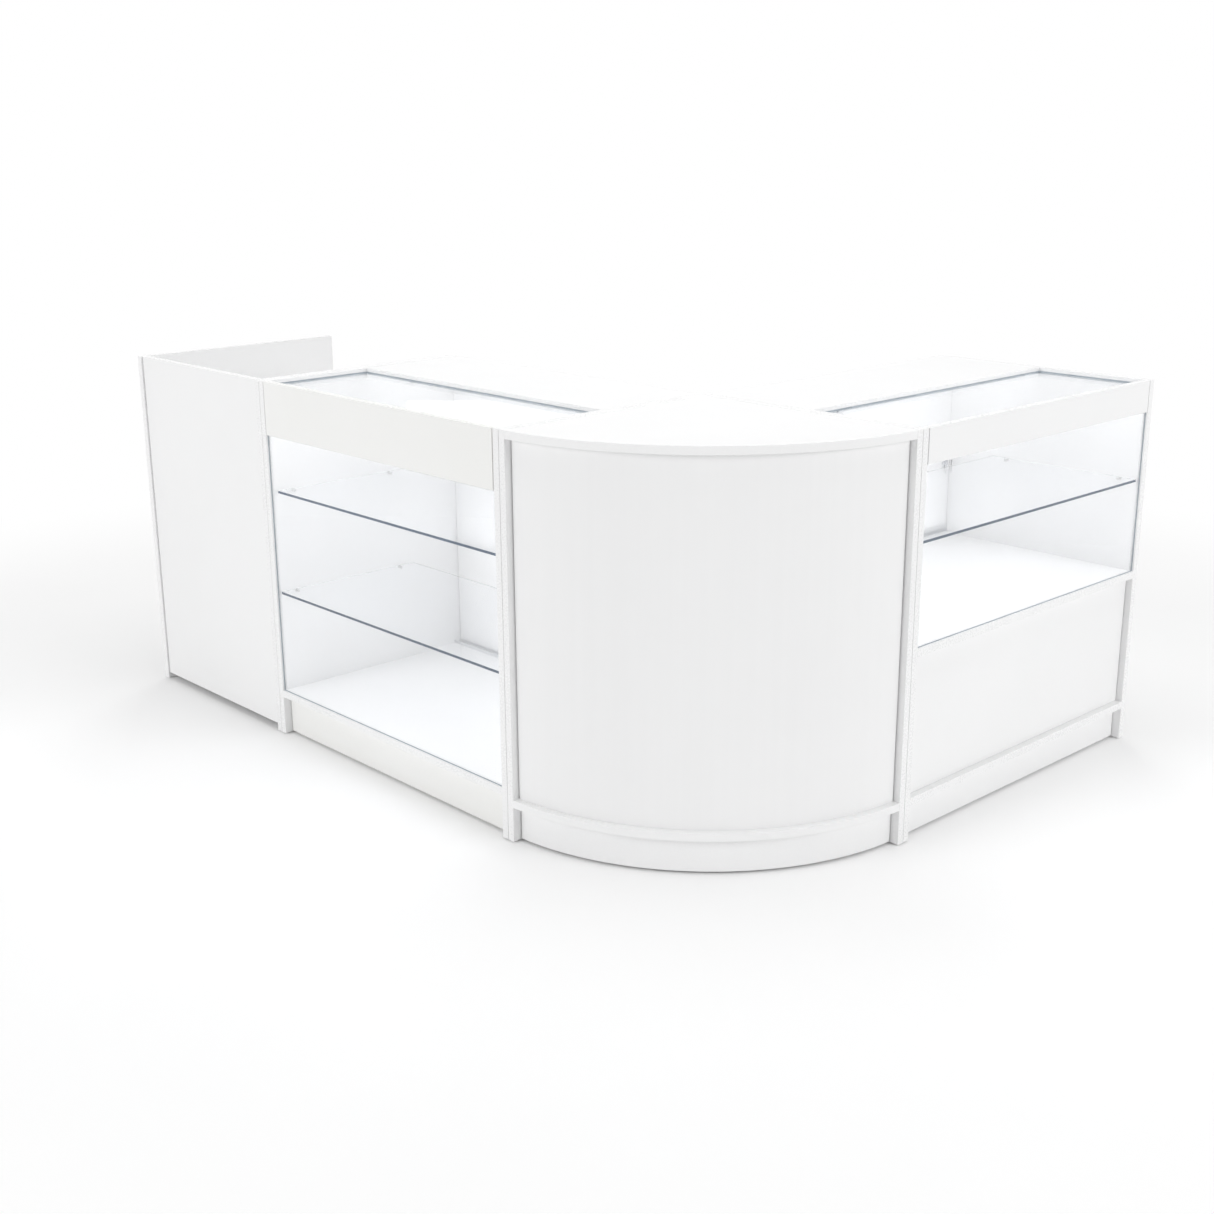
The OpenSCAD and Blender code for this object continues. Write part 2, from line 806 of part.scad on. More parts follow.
module counter_pin_holes() {
    pin_holes(lower_shelf_back, lower_shelf_d, counter_shelf_z);
    pin_holes(storage_shelf_front, storage_shelf_d, storage_shelf_z);
}

module counter_left_side() {
    color(board_color) at_counter() difference() {
        display_side(counter_w, false, showcase_floor_z, counter_fascia_h) counter_pin_holes();
        bolt_holes(half_gap);
    }
}

module counter_right_side() {
    color(board_color) at_counter()
        display_side(counter_w, true, showcase_floor_z, counter_fascia_h) counter_pin_holes();
}

module counter_fascia() {
    color(board_color) at_counter() fascia(counter_w, counter_fascia_h);
}

module counter_mid_deck() {
    color(board_color) at_counter() showcase_floor(counter_w, showcase_floor_z);
}

module counter_lower_panel() {
    h = showcase_floor_z - board_t - storage_floor_z;
    color(board_color) at_counter() front_board(counter_w, panel_back, storage_floor_z, h);
}

module counter_base_board() {
    color(board_color) at_counter() rail(in0, in1(counter_w), 0, unit_d, kick_h, board_t);
}

module counter_plinths() {
    color(board_color) at_counter() plinth_pair(counter_w, kick_h);
}

module counter_front_glass() {
    color(glass_color) at_counter() front_glass(counter_w, showcase_floor_z, counter_fascia_h);
}

module counter_top_glass() {
    color(glass_color) at_counter() top_glass(counter_w);
}

module counter_rear_worktop() {
    color(board_color) at_counter() rear_worktop(counter_w);
}

module counter_glass_shelf() {
    color(glass_color) at_counter() glass_shelf(counter_w, lower_shelf_back, lower_shelf_d, counter_shelf_z);
}

module counter_storage_shelf() {
    color(board_color) at_counter()
        rail(in0 + shelf_gap, in1(counter_w) - shelf_gap, storage_shelf_front, storage_shelf_d,
            storage_shelf_z, board_t);
}

module counter_door_tracks() {
    color(alloy_color) at_counter() door_tracks(counter_w, showcase_floor_z);
}

module counter_left_door() {
    x = in0 + door_end_gap;
    color(board_color) at_counter()
        sliding_door(counter_w, x, outer_lane_y, showcase_floor_z, x + pull_in, counter_pull_z);
}

module counter_right_door() {
    color(board_color) at_counter()
        sliding_door(counter_w, right_door_x(counter_w), inner_lane_y, showcase_floor_z,
            in1(counter_w) - door_end_gap - pull_in, counter_pull_z)
            lock_hole(lock_x(counter_w), inner_lane_y, inner_lane_y + door_t, lock_z);
}

module counter_left_pull() {
    color(pull_color) at_counter()
        finger_pull(in0 + door_end_gap + pull_in, outer_lane_y + door_t, counter_pull_z);
}

module counter_right_pull() {
    color(pull_color) at_counter()
        finger_pull(in1(counter_w) - door_end_gap - pull_in, inner_lane_y + door_t, counter_pull_z);
}

module counter_lock_housing() {
    color(steel_color) at_counter()
        lock_housing(lock_x(counter_w), inner_lane_y, inner_lane_y + door_t, lock_z);
}

module counter_lock_barrel() {
    color(alloy_color) at_counter()
        lock_barrel(lock_x(counter_w), inner_lane_y, inner_lane_y + door_t, lock_z, 0);
}

// ---- pieces that every unit has

module shelf_pins() {
    color(steel_color) {
        at_till() pins_under(till_w, till_shelf_front, till_shelf_d, till_shelf_z);
        at_display() {
            pins_under(display_w, upper_shelf_back, upper_shelf_d, upper_shelf_z);
            pins_under(display_w, lower_shelf_back, lower_shelf_d, lower_shelf_z);
        }
        at_counter() {
            pins_under(counter_w, lower_shelf_back, lower_shelf_d, counter_shelf_z);
            pins_under(counter_w, storage_shelf_front, storage_shelf_d, storage_shelf_z);
        }
    }
}

// Glides under the side board at x, pushed into its lower edge
module glides(x, d) {
    for (p = glide_places(d)) translate([x + p[0], p[1], 0]) {
        cylinder(r = glide_r, h = glide_h);
        cylinder(r = pin_stem_r, h = glide_h + 11);
    }
}

module levelling_glides() {
    color(black_color) {
        at_till() {
            glides(half_gap, unit_d);
            glides(till_w - half_gap - board_t, unit_d);
        }
        at_display() {
            glides(half_gap, unit_d);
            glides(display_w - half_gap - board_t, unit_d);
            glides(display_w + half_gap, unit_d);
        }
        at_counter() {
            glides(-half_gap - board_t, unit_d - in0);
            glides(half_gap, unit_d);
            glides(counter_w - half_gap - board_t, unit_d);
        }
    }
}

// Bolts through the two side boards that meet at x
module bolts_at(x) {
    for (p = bolt_places()) {
        rod_x(x - in0, p[0], p[1], bolt_r, 2 * in0);
        for (s = [-1, 1])
            rod_x(x + s * (in0 + bolt_head_t / 2) - bolt_head_t / 2, p[0], p[1], bolt_head_r, bolt_head_t);
    }
}

module connector_bolts() {
    color(steel_color) {
        at_display() bolts_at(0);
        at_display() bolts_at(display_w);
        at_counter() bolts_at(0);
    }
}

till_left_side();
till_right_side();
till_front_panel();
till_worktop();
till_shelf();
till_base_board();
till_rear_plinth();
drawer_front();
drawer_sides_and_back();
drawer_bottom();
cabinet_runners();
drawer_runners();
drawer_lock_housing();
drawer_lock_barrel();
display_left_side();
display_right_side();
display_fascia();
display_deck();
display_plinths();
display_front_glass();
display_top_glass();
display_rear_worktop();
display_upper_shelf();
display_lower_shelf();
display_door_tracks();
display_left_door();
display_right_door();
display_left_pull();
display_right_pull();
display_lock_housing();
display_lock_barrel();
corner_left_side();
corner_right_side();
corner_top();
corner_curved_panel();
corner_base_board();
corner_curved_plinth();
corner_rib();
counter_left_side();
counter_right_side();
counter_fascia();
counter_mid_deck();
counter_lower_panel();
counter_base_board();
counter_plinths();
counter_front_glass();
counter_top_glass();
counter_rear_worktop();
counter_glass_shelf();
counter_storage_shelf();
counter_door_tracks();
counter_left_door();
counter_right_door();
counter_left_pull();
counter_right_pull();
counter_lock_housing();
counter_lock_barrel();
shelf_pins();
levelling_glides();
connector_bolts();
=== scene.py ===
"""L-shaped white checkout counter with two glass displays and a quarter-round corner.

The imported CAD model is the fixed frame. This script gives its boards, metal and plastic
their procedural finishes, and builds the glass, the curved panels, the pulls and other
finer pieces that stand for plain CAD solids. Everything is in metres, in the row frame.
"""

import json
import math

import bmesh
import bpy
from mathutils import Matrix, Vector


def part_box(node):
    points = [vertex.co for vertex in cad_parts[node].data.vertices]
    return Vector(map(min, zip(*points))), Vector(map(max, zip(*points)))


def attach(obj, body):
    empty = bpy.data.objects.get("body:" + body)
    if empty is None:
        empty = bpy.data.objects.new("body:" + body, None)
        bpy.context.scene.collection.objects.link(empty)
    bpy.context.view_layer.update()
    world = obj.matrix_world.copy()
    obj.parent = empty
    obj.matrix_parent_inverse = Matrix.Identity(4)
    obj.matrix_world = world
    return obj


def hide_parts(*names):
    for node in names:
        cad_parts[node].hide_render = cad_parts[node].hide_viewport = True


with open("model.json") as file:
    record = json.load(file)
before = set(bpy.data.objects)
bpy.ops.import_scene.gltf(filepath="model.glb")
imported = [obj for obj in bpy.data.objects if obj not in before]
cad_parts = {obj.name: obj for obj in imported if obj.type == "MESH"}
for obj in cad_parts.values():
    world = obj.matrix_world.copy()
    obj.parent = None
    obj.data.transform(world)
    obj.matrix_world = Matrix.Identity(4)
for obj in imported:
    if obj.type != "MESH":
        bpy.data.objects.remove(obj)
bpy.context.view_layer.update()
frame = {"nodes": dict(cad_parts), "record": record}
NODES = frame["nodes"]
BODY_OF = {
    node: body
    for body, members in frame["record"]["behaviour"]["bodies"].items()
    for node in members
}

MM = 0.001
EDGE_EASE = 0.8 * MM


# ---------------------------------------------------------------- node helpers


def add(tree, kind, settings=None, **inputs):
    """A shader node. Inputs are constants or another node's output; _1 and _2 pick sockets by number."""
    node = tree.nodes.new("ShaderNode" + kind)
    for key, value in (settings or {}).items():
        setattr(node, key, value)
    for key, value in inputs.items():
        name = key.replace("_", " ").strip()
        socket = node.inputs[int(name)] if name.isdigit() else node.inputs[name]
        if isinstance(value, bpy.types.NodeSocket):
            tree.links.new(value, socket)
        else:
            socket.default_value = value
    return node


def maths(tree, operation, a, b=0.0, c=None):
    inputs = {"_0": a, "_1": b}
    if c is not None:
        inputs["_2"] = c
    return add(tree, "Math", {"operation": operation}, **inputs).outputs[0]


def vector_maths(tree, operation, a, b=(0.0, 0.0, 0.0)):
    node = add(tree, "VectorMath", {"operation": operation}, _0=a, _1=b)
    return node.outputs["Value" if operation == "DOT_PRODUCT" else "Vector"]


def noise(tree, where, scale, detail=2.0, rough=0.5):
    return add(tree, "TexNoise", Vector=where, Scale=scale, Detail=detail, Roughness=rough).outputs["Fac"]


def spread(tree, value, from_lo, from_hi, to_lo, to_hi, smooth=False):
    kind = {"interpolation_type": "SMOOTHSTEP" if smooth else "LINEAR", "clamp": True}
    node = add(tree, "MapRange", kind, Value=value)
    for name, number in zip(("From Min", "From Max", "To Min", "To Max"), (from_lo, from_hi, to_lo, to_hi)):
        node.inputs[name].default_value = number
    return node.outputs["Result"]


def blend_colours(tree, share, one, two, way="MIX"):
    node = add(tree, "Mix", {"data_type": "RGBA", "blend_type": way, "clamp_factor": True})
    for socket, value in ((node.inputs[0], share), (node.inputs[6], one), (node.inputs[7], two)):
        if isinstance(value, bpy.types.NodeSocket):
            tree.links.new(value, socket)
        else:
            socket.default_value = value
    return node.outputs[2]


def between(tree, value, lo, hi, tones):
    """The colour that goes from the first tone to the second as value goes from lo to hi."""
    return blend_colours(tree, spread(tree, value, lo, hi, 0.0, 1.0), *tones)


def grey(tree, value):
    return add(tree, "CombineColor", Red=value, Green=value, Blue=value).outputs[0]


def weighted(tree, one, one_share, two, two_share):
    return maths(
        tree, "ADD", maths(tree, "MULTIPLY", one, one_share), maths(tree, "MULTIPLY", two, two_share)
    )


def colour(r, g, b):
    return (r, g, b, 1.0)


def new_material(name):
    material = bpy.data.materials.new(name)
    material.use_nodes = True
    material.node_tree.nodes.clear()
    return material, material.node_tree


def place(tree, stretch=(1.0, 1.0, 1.0)):
    """The piece's own coordinates in metres, stretched along its axes."""
    where = add(tree, "TexCoord").outputs["Object"]
    if tuple(stretch) == (1.0, 1.0, 1.0):
        return where
    return add(tree, "Mapping", Vector=where, Scale=stretch).outputs["Vector"]


def bumped(tree, height, strength, distance):
    return add(tree, "Bump", Height=height, Strength=strength, Distance=distance).outputs["Normal"]


def to_output(tree, shader):
    out = add(tree, "OutputMaterial")
    tree.links.new(shader, out.inputs["Surface"])


def principled(tree, **inputs):
    return add(tree, "BsdfPrincipled", **inputs).outputs["BSDF"]


# ---------------------------------------------------------------- materials

WARM_WHITE = (colour(0.842, 0.842, 0.826), colour(0.858, 0.858, 0.846))
COOL_WHITE = (colour(0.845, 0.846, 0.848), colour(0.862, 0.863, 0.865))
# The inner boards' white is a darker, bluer copy of the board white: painted shade, tinted like light
# through the glass.
SHADED_INNER_WHITE = (colour(0.800, 0.806, 0.818), colour(0.822, 0.828, 0.838))
CURVED_WHITE = (colour(0.843, 0.843, 0.845), colour(0.855, 0.855, 0.857))
JOINT_TONE = colour(0.50, 0.49, 0.46)

SKIN_SCALE, GRAIN_SCALE = 950.0, 240.0
EMBOSS_STRENGTH, EMBOSS_DEPTH = 0.12, 0.05 * MM
BOARD_ROUGH = 0.34
# The joint of the edge banding lies this far in from the edge, and is twice JOINT_HALF wide.
JOINT_AT, JOINT_HALF = 1.15 * MM, 0.14 * MM
# Added along the thin axis, so that the faces themselves never count as the nearest edge.
FAR_OFF = 9.0


def melamine(name, tones, lo=None, hi=None, across=2):
    """Melamine-faced board: a fine embossed skin, edge banding that is smoother than the faces,
    and the hair-thin joint between the two. lo and hi are the board's box, across its thin axis."""
    material, tree = new_material(name)
    where = place(tree)
    patches = noise(tree, where, 2.3, 3.0, 0.55)
    skin = noise(tree, where, SKIN_SCALE, 2.0, 0.6)
    grainy = noise(tree, where, GRAIN_SCALE, 3.0, 0.5)
    smear = noise(tree, where, 11.0, 2.0, 0.45)
    tone = between(tree, patches, 0.32, 0.68, tones)
    fleck = spread(tree, grainy, 0.35, 0.7, 0.992, 1.006)
    tone = blend_colours(tree, 1.0, tone, grey(tree, fleck), "MULTIPLY")
    fine = spread(tree, grainy, 0.3, 0.7, BOARD_ROUGH - 0.035, BOARD_ROUGH + 0.045)
    rough = maths(tree, "ADD", fine, spread(tree, smear, 0.3, 0.7, -0.02, 0.03))
    relief = weighted(tree, skin, 0.6, grainy, 0.4)
    if lo is not None:
        axis = [0.0, 0.0, 0.0]
        axis[across] = 1.0
        facing = add(tree, "TexCoord").outputs["Normal"]
        flat = maths(tree, "ABSOLUTE", vector_maths(tree, "DOT_PRODUCT", facing, axis))
        on_face = maths(tree, "GREATER_THAN", flat, 0.9)
        near = vector_maths(
            tree,
            "MINIMUM",
            vector_maths(tree, "SUBTRACT", where, tuple(lo)),
            vector_maths(tree, "SUBTRACT", tuple(hi), where),
        )
        near = vector_maths(tree, "ADD", near, tuple(FAR_OFF * a for a in axis))
        x, y, z = add(tree, "SeparateXYZ", Vector=near).outputs
        reach = maths(tree, "MINIMUM", maths(tree, "MINIMUM", x, y), z)
        joint = maths(tree, "COMPARE", reach, JOINT_AT, JOINT_HALF)
        joint = maths(tree, "MULTIPLY", joint, on_face)
        tone = blend_colours(tree, maths(tree, "MULTIPLY", joint, 0.35), tone, JOINT_TONE)
        on_edge = maths(tree, "SUBTRACT", 1.0, on_face)
        rough = maths(tree, "SUBTRACT", rough, maths(tree, "MULTIPLY", on_edge, 0.07))
        relief = maths(tree, "MULTIPLY", relief, spread(tree, on_face, 0.0, 1.0, 0.1, 1.0))
        relief = maths(tree, "SUBTRACT", relief, maths(tree, "MULTIPLY", joint, 0.9))
    shader = principled(
        tree,
        Base_Color=tone,
        Roughness=rough,
        Normal=bumped(tree, relief, EMBOSS_STRENGTH, EMBOSS_DEPTH),
        Coat_Weight=0.06,
        Coat_Roughness=0.25,
    )
    to_output(tree, shader)
    return material


def laminate():
    """Bendable laminate on the curved corner: faint upright streaks from the bending board under it."""
    material, tree = new_material("curved_laminate")
    where = place(tree)
    streak = noise(tree, place(tree, (60.0, 60.0, 1.2)), 1.0, 3.0, 0.55)
    patches = noise(tree, where, 3.1, 3.0, 0.6)
    skin = noise(tree, where, SKIN_SCALE, 2.0, 0.6)
    grainy = noise(tree, where, GRAIN_SCALE, 3.0, 0.5)
    tone = between(tree, patches, 0.3, 0.7, CURVED_WHITE)
    shade = spread(tree, streak, 0.3, 0.7, 0.996, 1.004)
    tone = blend_colours(tree, 1.0, tone, grey(tree, shade), "MULTIPLY")
    rough = spread(tree, grainy, 0.3, 0.7, 0.36, 0.44)
    relief = weighted(tree, skin, 0.5, streak, 0.2)
    shader = principled(
        tree,
        Base_Color=tone,
        Roughness=rough,
        Normal=bumped(tree, relief, EMBOSS_STRENGTH, EMBOSS_DEPTH),
    )
    to_output(tree, shader)
    return material


GLASS_IOR = 1.52


def glass_face(name, pale, deep):
    """Clear float glass. Lamps and light bounced off boards pass straight through it; what is seen
    through it is refracted. The tint comes from the iron in the glass, and the top pane's darker tint is
    painted shade."""
    material, tree = new_material(name)
    where = place(tree)
    film = spread(tree, noise(tree, where, 6.0, 3.0, 0.55), 0.45, 0.75, 0.0, 1.0)
    tint = blend_colours(tree, film, deep, pale)
    clear = principled(tree, Base_Color=tint, Roughness=0.0, IOR=GLASS_IOR, Transmission_Weight=1.0)
    through = add(tree, "BsdfTransparent", Color=colour(0.993, 0.995, 0.998))
    path = add(tree, "LightPath")
    straight = maths(tree, "MAXIMUM", path.outputs["Is Shadow Ray"], path.outputs["Is Diffuse Ray"])
    mix = add(tree, "MixShader", _0=straight, _1=clear, _2=through.outputs["BSDF"])
    to_output(tree, mix.outputs["Shader"])
    return material


def glass_edge(tones):
    """Ground and polished edge of float glass: dark steel blue, with brighter streaks along it."""
    material, tree = new_material("glass_edge")
    runs = noise(tree, place(tree, (14.0, 14.0, 14.0)), 1.0, 3.0, 0.6)
    fine = noise(tree, place(tree), 420.0, 2.0, 0.5)
    tone = between(tree, weighted(tree, runs, 0.8, fine, 0.2), 0.35, 0.65, tones)
    shader = principled(
        tree,
        Base_Color=tone,
        Roughness=spread(tree, fine, 0.3, 0.7, 0.10, 0.2),
        IOR=GLASS_IOR,
        Specular_IOR_Level=0.1,
    )
    to_output(tree, shader)
    return material


def metal(name, tones, rough, along=(1.0, 1.0, 1.0), mottled=4.0, lines=0.15):
    """Plated or anodised metal: drawn lines along one axis, and soft mottling of the plating."""
    material, tree = new_material(name)
    drawn = noise(tree, place(tree, along), 1.0, 3.0, 0.6)
    mottle = noise(tree, place(tree), mottled * 10.0, 3.0, 0.55)
    share = weighted(tree, drawn, 0.45, mottle, 0.55)
    tone = between(tree, share, 0.35, 0.65, tones)
    shader = principled(
        tree,
        Base_Color=tone,
        Metallic=1.0,
        Roughness=spread(tree, share, 0.3, 0.7, rough - 0.06, rough + 0.06),
        Normal=bumped(tree, drawn, lines, 0.05 * MM),
    )
    to_output(tree, shader)
    return material


def plastic(name, tones, rough):
    """Moulded plastic: spark-eroded grain with a faint flow of tone."""
    material, tree = new_material(name)
    where = place(tree)
    grain = noise(tree, where, 1500.0, 2.0, 0.6)
    flow = noise(tree, where, 40.0, 2.0, 0.5)
    shader = principled(
        tree,
        Base_Color=between(tree, flow, 0.3, 0.7, tones),
        Roughness=spread(tree, grain, 0.3, 0.7, rough - 0.06, rough + 0.06),
        Normal=bumped(tree, grain, 0.25, 0.04 * MM),
    )
    to_output(tree, shader)
    return material


GLASS_FACE = glass_face("glass_face", colour(0.988, 0.992, 0.998), colour(0.982, 0.988, 0.997))
# The top pane's glass is tinted darker than the front panes' glass: iron tint plus painted shade.
SHADED_TOP_GLASS_FACE = glass_face("top_glass_face_painted_shade", colour(0.940, 0.952, 0.970), colour(0.925, 0.940, 0.964))
GLASS_EDGE = glass_edge((colour(0.030, 0.058, 0.100), colour(0.045, 0.080, 0.130)))
LAMINATE = laminate()

ALLOY = (colour(0.66, 0.67, 0.69), colour(0.74, 0.75, 0.77))
ZINC_TONES = (colour(0.56, 0.58, 0.60), colour(0.68, 0.69, 0.70))
NICKEL_TONES = (colour(0.52, 0.51, 0.50), colour(0.62, 0.61, 0.59))
CHROME_TONES = (colour(0.74, 0.75, 0.77), colour(0.82, 0.83, 0.85))
GREY_TONES = (colour(0.48, 0.49, 0.51), colour(0.54, 0.55, 0.57))
BLACK_TONES = (colour(0.016, 0.016, 0.017), colour(0.026, 0.026, 0.028))
# The glazing bead's blue-grey tone draws the dark line where each pane meets its boards. It is partly the
# bead's own colour and partly painted shade of the groove behind it.
BEAD_TONES_WITH_EDGE_SHADE = (colour(0.30, 0.345, 0.385), colour(0.36, 0.405, 0.445))

ALLOY_X = metal("anodised_x", ALLOY, 0.34, (3.0, 900.0, 900.0))
ALLOY_Y = metal("anodised_y", ALLOY, 0.34, (900.0, 3.0, 900.0))
ZINC = metal("zinc_plate", ZINC_TONES, 0.36, (500.0, 6.0, 500.0), 9.0)
NICKEL = metal("nickel_plate", NICKEL_TONES, 0.22, (300.0, 300.0, 300.0), 20.0, 0.05)
CHROME = metal("chrome_plate", CHROME_TONES, 0.13, (60.0, 60.0, 60.0), 12.0, 0.03)
GREY_PLASTIC = plastic("grey_plastic", GREY_TONES, 0.42)
BLACK_PLASTIC = plastic("black_plastic", BLACK_TONES, 0.46)
GLAZING_BEAD_WITH_EDGE_SHADE = plastic("glazing_bead_edge_shade", BEAD_TONES_WITH_EDGE_SHADE, 0.30)


def finish_with(obj, *materials):
    """Gives the object its materials. Clearing the list sets every face back to the first slot,
    so an empty list is left alone."""
    if obj.data.materials:
        obj.data.materials.clear()
    for m in materials:
        obj.data.materials.append(m)


# ---------------------------------------------------------------- boards kept from the CAD

WARM_NODES = ("display_fascia", "display_plinths")
INNER_NODES = ("drawer_sides_and_back", "drawer_bottom", "corner_rib")
# The thin axis of a node that holds two boards; the drawer's three boards have no common one.
PAIRED = {"display_plinths": 1, "counter_plinths": 0, "drawer_sides_and_back": None}
ARC_NODES = ("corner_top", "corner_curved_panel", "corner_base_board", "corner_curved_plinth")
HARDWARE = {
    "cabinet_runners": ZINC,
    "drawer_runners": ZINC,
    "display_door_tracks": ALLOY_X,
    "counter_door_tracks": ALLOY_Y,
    "shelf_pins": NICKEL,
    "levelling_glides": BLACK_PLASTIC,
    "connector_bolts": ZINC,
}
for unit in ("drawer", "display", "counter"):
    HARDWARE[unit + "_lock_housing"] = HARDWARE[unit + "_lock_barrel"] = CHROME
for unit in ("display", "counter"):
    HARDWARE[unit + "_left_pull"] = HARDWARE[unit + "_right_pull"] = GREY_PLASTIC
GLASS_NODES = (
    "display_front_glass",
    "display_top_glass",
    "display_upper_shelf",
    "display_lower_shelf",
    "counter_front_glass",
    "counter_top_glass",
    "counter_glass_shelf",
)


def thin_axis(size):
    return min(range(3), key=lambda i: size[i])


def board_tones(node):
    if node in INNER_NODES:
        return SHADED_INNER_WHITE
    return WARM_WHITE if node in WARM_NODES else COOL_WHITE


for name, obj in NODES.items():
    if name in HARDWARE:
        finish_with(obj, HARDWARE[name])
    elif name not in GLASS_NODES and name not in ARC_NODES:
        lo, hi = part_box(name)
        across = PAIRED[name] if name in PAIRED else thin_axis(hi - lo)
        if across is None:
            finish_with(obj, melamine(name + "_skin", board_tones(name)))
        else:
            finish_with(obj, melamine(name + "_skin", board_tones(name), lo, hi, across))


# ---------------------------------------------------------------- mesh helpers


def to_object(name, bm, materials, smooth_deg=None):
    """The bmesh as an object. With smooth_deg it is shaded smooth, and its large faces stay flat."""
    mesh = bpy.data.meshes.new(name)
    bmesh.ops.recalc_face_normals(bm, faces=bm.faces)
    bm.to_mesh(mesh)
    bm.free()
    obj = bpy.data.objects.new(name, mesh)
    bpy.context.scene.collection.objects.link(obj)
    finish_with(obj, *materials)
    if smooth_deg:
        mesh.shade_smooth()
        mesh.set_sharp_from_angle(angle=math.radians(smooth_deg))
        weigh = obj.modifiers.new("face_weights", "WEIGHTED_NORMAL")
        weigh.mode = "FACE_AREA"
        weigh.weight = 100
        weigh.keep_sharp = True
    return obj


def stand_for(obj, node):
    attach(obj, BODY_OF[node])
    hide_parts(node)


def prism(points, z0, z1):
    """Closed prism on a polygon in XY, as a bmesh, with its lower and upper faces."""
    bm = bmesh.new()
    low = bm.faces.new([bm.verts.new((x, y, z0)) for x, y in points])
    grown = bmesh.ops.extrude_face_region(bm, geom=[low])
    for v in (g for g in grown["geom"] if isinstance(g, bmesh.types.BMVert)):
        v.co.z = z1
    bm.normal_update()
    return bm


def box_mesh(lo, hi):
    bm = bmesh.new()
    bmesh.ops.create_cube(bm, size=1.0)
    for v in bm.verts:
        v.co = Vector([(lo[i] + hi[i]) / 2 + v.co[i] * (hi[i] - lo[i]) for i in range(3)])
    return bm


# ---------------------------------------------------------------- glass

ARRIS = 0.7 * MM
SHELF_CORNER, CORNER_STEPS = 4 * MM, 6


def rounded_outline(lo, hi):
    """The box lo..hi from above, with an arc at each corner."""
    left, right = lo.x + SHELF_CORNER, hi.x - SHELF_CORNER
    front, rear = lo.y + SHELF_CORNER, hi.y - SHELF_CORNER
    points = []
    for i, (x, y) in enumerate(((right, rear), (left, rear), (left, front), (right, front))):
        for k in range(CORNER_STEPS + 1):
            a = math.pi / 2 * (i + k / CORNER_STEPS)
            points.append((x + SHELF_CORNER * math.cos(a), y + SHELF_CORNER * math.sin(a)))
    return points


def glass_sheet(node, round_corners):
    """Float glass with arrised edges. The free front edge of a shelf is dark; a pane's edges lie in
    grooves and stay clear."""
    lo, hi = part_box(node)
    thin = thin_axis(hi - lo)
    bm = prism(rounded_outline(lo, hi), lo.z, hi.z) if round_corners else box_mesh(lo, hi)
    bm.normal_update()
    big = [f for f in bm.faces if abs(f.normal[thin]) > 0.99]
    rims = list(dict.fromkeys(e for f in big for e in f.edges))
    bmesh.ops.bevel(bm, geom=rims, offset=ARRIS, segments=2, profile=0.5, affect="EDGES")
    bm.normal_update()
    front = Vector((0.0, -1.0, 0.0) if node.startswith("display") else (1.0, 0.0, 0.0))
    for f in bm.faces:
        f.material_index = 1 if round_corners and f.normal.dot(front) > 0.3 else 0
    face = SHADED_TOP_GLASS_FACE if "_top_" in node else GLASS_FACE
    obj = to_object(node + "_sheet", bm, (face, GLASS_EDGE))
    stand_for(obj, node)


for node in GLASS_NODES:
    glass_sheet(node, node.endswith("shelf"))


# ---------------------------------------------------------------- glazing beads

BEAD = 1.5 * MM
BEAD_ROUND = 0.8 * MM
TOP_BEAD_H = 3.1 * MM


def bead_frame(name, lo, hi, axis, deep, open_top=False):
    """Mitred bead round the opening lo..hi, on the pane face at lo[axis]; it can leave out the top run."""
    bm = bmesh.new()
    u, v = [i for i in range(3) if i != axis]
    loops = []
    for level in (lo[axis], lo[axis] + deep):
        for inset in (0.0, BEAD):
            loop = []
            for su, sv in ((0, 0), (1, 0), (1, 1), (0, 1)):
                point = [0.0, 0.0, 0.0]
                point[axis] = level
                point[u] = hi[u] - inset if su else lo[u] + inset
                point[v] = hi[v] - (0.0 if open_top else inset) if sv else lo[v] + inset
                loop.append(bm.verts.new(point))
            loops.append(loop)
    low_out, low_in, high_out, high_in = loops
    runs = (0, 1, 3) if open_top else (0, 1, 2, 3)
    for one, two in ((low_out, low_in), (low_in, high_in), (high_in, high_out), (high_out, low_out)):
        for i in runs:
            j = (i + 1) % 4
            bm.faces.new((one[i], one[j], two[j], two[i]))
    if open_top:
        for i in (2, 3):
            bm.faces.new((low_out[i], low_in[i], high_in[i], high_out[i]))
    bmesh.ops.recalc_face_normals(bm, faces=bm.faces)
    ring = set(high_in)
    crests = [e for e in bm.edges if e.verts[0] in ring and e.verts[1] in ring]
    bmesh.ops.bevel(bm, geom=crests, offset=BEAD_ROUND, segments=3, profile=0.5, affect="EDGES")
    obj = to_object(name, bm, (GLAZING_BEAD_WITH_EDGE_SHADE,), 35)
    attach(obj, "cabinet")


def opening(unit, level):
    """The clear opening of a unit's front or top pane, from the boards round it."""
    left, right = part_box(unit + "_left_side"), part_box(unit + "_right_side")
    fascia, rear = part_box(unit + "_fascia"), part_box(unit + "_rear_worktop")
    floor_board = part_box("display_deck" if unit == "display" else "counter_mid_deck")
    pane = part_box(unit + ("_front_glass" if level == "front" else "_top_glass"))
    lo, hi = Vector((0.0, 0.0, 0.0)), Vector((0.0, 0.0, 0.0))
    along, deep = (0, 1) if unit == "display" else (1, 0)
    lo[along], hi[along] = left[1][along], right[0][along]
    if level == "top":
        lo.z = hi.z = pane[1].z
        ends = (fascia[1][deep], rear[0][deep]) if deep == 1 else (rear[1][deep], fascia[0][deep])
        lo[deep], hi[deep] = ends
    else:
        lo.z, hi.z = floor_board[1].z, fascia[0].z
        lo[deep] = hi[deep] = pane[0][deep] if deep == 1 else pane[1][deep]
    return lo, hi


